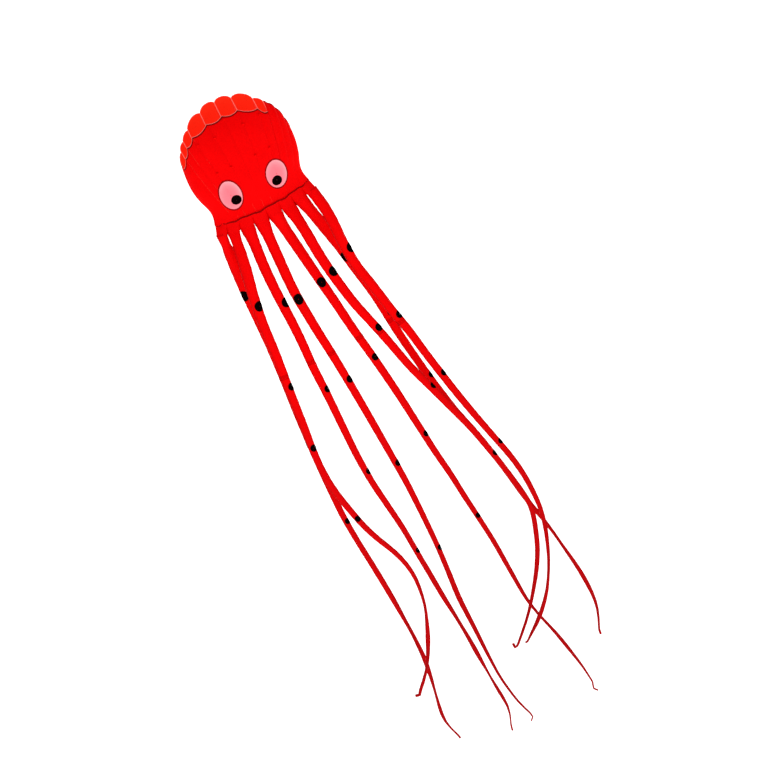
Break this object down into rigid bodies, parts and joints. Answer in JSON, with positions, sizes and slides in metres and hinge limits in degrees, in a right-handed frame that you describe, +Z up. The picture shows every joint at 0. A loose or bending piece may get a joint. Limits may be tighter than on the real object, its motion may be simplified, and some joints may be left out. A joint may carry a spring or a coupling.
{
  "type": "octopus kite",
  "caption": "Frameless wind-filled octopus kite: a cloth head with a row of air mouths, eyes and bridle loops, and long tapering tentacles that swing and bend.",
  "frame": {"origin": "centre of the bore of the middle bridle loop, on the brow of the face", "axes": "+Z up from the tentacles to the crown, the face looks along -Y, +X to the viewer's right"},
  "size_m": [2.2779, 0.4829, 7.9773],
  "materials": {
    "red_ripstop": "ripstop nylon, slight sheen",
    "rib_ripstop": "thin pale ripstop",
    "edge_tape": "folded and stitched tape",
    "eye_cloth": "pale pink ripstop",
    "eye_outline_cloth": "dark red ripstop",
    "black_cloth": "black ripstop",
    "loop_webbing": "woven webbing"
  },
  "bodies": {
    "head": {"back_lip_hem": "edge_tape", "back_skin": "red_ripstop", "bridle_loop_centre": "loop_webbing", "bridle_loops_brow": "loop_webbing", "bridle_loops_cheek": "loop_webbing", "eye_outline_left": "eye_outline_cloth", "eye_outline_right": "eye_outline_cloth", "eye_white_left": "eye_cloth", "eye_white_right": "eye_cloth", "face_lip_hem": "edge_tape", "face_skin": "red_ripstop", "neck_seam_tape": "edge_tape", "pupil_left": "black_cloth", "pupil_right": "black_cloth", "rib_01": "rib_ripstop", "rib_02": "rib_ripstop", "rib_03": "rib_ripstop", "rib_04": "rib_ripstop", "rib_05": "rib_ripstop", "rib_06": "rib_ripstop", "rib_07": "rib_ripstop", "rib_08": "rib_ripstop", "rib_09": "rib_ripstop", "rib_10": "rib_ripstop", "skirt_back": "red_ripstop", "skirt_face": "red_ripstop"},
    "tentacle_1_upper_body": {"tentacle_1_upper": "red_ripstop", "spots_1_upper": "black_cloth"},
    "tentacle_1_lower_body": {"tentacle_1_lower": "red_ripstop", "spots_1_lower": "black_cloth"},
    "tentacle_2_upper_body": {"tentacle_2_upper": "red_ripstop", "spots_2_upper": "black_cloth"},
    "tentacle_2_lower_body": {"tentacle_2_lower": "red_ripstop", "spots_2_lower": "black_cloth"},
    "tentacle_3_upper_body": {"tentacle_3_upper": "red_ripstop", "spots_3_upper": "black_cloth"},
    "tentacle_3_lower_body": {"tentacle_3_lower": "red_ripstop", "spots_3_lower": "black_cloth"},
    "tentacle_4_upper_body": {"tentacle_4_upper": "red_ripstop", "spots_4_upper": "black_cloth"},
    "tentacle_4_lower_body": {"tentacle_4_lower": "red_ripstop", "spots_4_lower": "black_cloth"},
    "tentacle_5_upper_body": {"tentacle_5_upper": "red_ripstop", "spots_5_upper": "black_cloth"},
    "tentacle_5_lower_body": {"tentacle_5_lower": "red_ripstop", "spots_5_lower": "black_cloth"},
    "tentacle_6_upper_body": {"tentacle_6_upper": "red_ripstop", "spots_6_upper": "black_cloth"},
    "tentacle_6_lower_body": {"tentacle_6_lower": "red_ripstop", "spots_6_lower": "black_cloth"},
    "tentacle_7_upper_body": {"tentacle_7_upper": "red_ripstop", "spots_7_upper": "black_cloth"},
    "tentacle_7_lower_body": {"tentacle_7_lower": "red_ripstop", "spots_7_lower": "black_cloth"},
    "tentacle_8_upper_body": {"tentacle_8_upper": "red_ripstop", "spots_8_upper": "black_cloth"},
    "tentacle_8_lower_body": {"tentacle_8_lower": "red_ripstop", "spots_8_lower": "black_cloth"}
  },
  "joints": [
    {"name": "tentacle_1_root", "type": "hinge", "parent": "head", "child": "tentacle_1_upper_body", "pos_m": [-0.56, 0.1859, -1.232], "axis": [1, 0, 0], "range_deg": [0, 25]},
    {"name": "tentacle_1_bend", "type": "hinge", "parent": "tentacle_1_upper_body", "child": "tentacle_1_lower_body", "pos_m": [-0.6525, 0.2739, -3.496], "axis": [1, 0, 0], "range_deg": [0, 30]},
    {"name": "tentacle_2_root", "type": "hinge", "parent": "head", "child": "tentacle_2_upper_body", "pos_m": [-0.424, 0.1859, -1.248], "axis": [1, 0, 0], "range_deg": [-25, 0]},
    {"name": "tentacle_2_bend", "type": "hinge", "parent": "tentacle_2_upper_body", "child": "tentacle_2_lower_body", "pos_m": [-0.6525, 0.0979, -3.496], "axis": [1, 0, 0], "range_deg": [-30, 0]},
    {"name": "tentacle_3_root", "type": "hinge", "parent": "head", "child": "tentacle_3_upper_body", "pos_m": [-0.262, 0.1859, -1.26], "axis": [1, 0, 0], "range_deg": [-18, 18]},
    {"name": "tentacle_3_bend", "type": "hinge", "parent": "tentacle_3_upper_body", "child": "tentacle_3_lower_body", "pos_m": [-0.2638, 0.1859, -3.496], "axis": [1, 0, 0], "range_deg": [-20, 20]},
    {"name": "tentacle_4_root", "type": "hinge", "parent": "head", "child": "tentacle_4_upper_body", "pos_m": [-0.088, 0.1859, -1.274], "axis": [1, 0, 0], "range_deg": [-18, 18]},
    {"name": "tentacle_4_bend", "type": "hinge", "parent": "tentacle_4_upper_body", "child": "tentacle_4_lower_body", "pos_m": [0.0235, 0.1859, -3.496], "axis": [1, 0, 0], "range_deg": [-20, 20]},
    {"name": "tentacle_5_root", "type": "hinge", "parent": "head", "child": "tentacle_5_upper_body", "pos_m": [0.082, 0.1859, -1.274], "axis": [1, 0, 0], "range_deg": [0, 25]},
    {"name": "tentacle_5_bend", "type": "hinge", "parent": "tentacle_5_upper_body", "child": "tentacle_5_lower_body", "pos_m": [0.4188, 0.2739, -3.496], "axis": [1, 0, 0], "range_deg": [0, 30]},
    {"name": "tentacle_6_root", "type": "hinge", "parent": "head", "child": "tentacle_6_upper_body", "pos_m": [0.25, 0.1859, -1.262], "axis": [1, 0, 0], "range_deg": [-25, 0]},
    {"name": "tentacle_6_bend", "type": "hinge", "parent": "tentacle_6_upper_body", "child": "tentacle_6_lower_body", "pos_m": [0.6908, 0.0979, -3.496], "axis": [1, 0, 0], "range_deg": [-30, 0]},
    {"name": "tentacle_7_root", "type": "hinge", "parent": "head", "child": "tentacle_7_upper_body", "pos_m": [0.406, 0.1859, -1.248], "axis": [1, 0, 0], "range_deg": [0, 25]},
    {"name": "tentacle_7_bend", "type": "hinge", "parent": "tentacle_7_upper_body", "child": "tentacle_7_lower_body", "pos_m": [0.8084, 0.2739, -3.496], "axis": [1, 0, 0], "range_deg": [0, 30]},
    {"name": "tentacle_8_root", "type": "hinge", "parent": "head", "child": "tentacle_8_upper_body", "pos_m": [0.562, 0.1859, -1.233], "axis": [1, 0, 0], "range_deg": [-25, 0]},
    {"name": "tentacle_8_bend", "type": "hinge", "parent": "tentacle_8_upper_body", "child": "tentacle_8_lower_body", "pos_m": [0.9263, 0.0979, -3.496], "axis": [1, 0, 0], "range_deg": [-30, 0]}
  ]
}
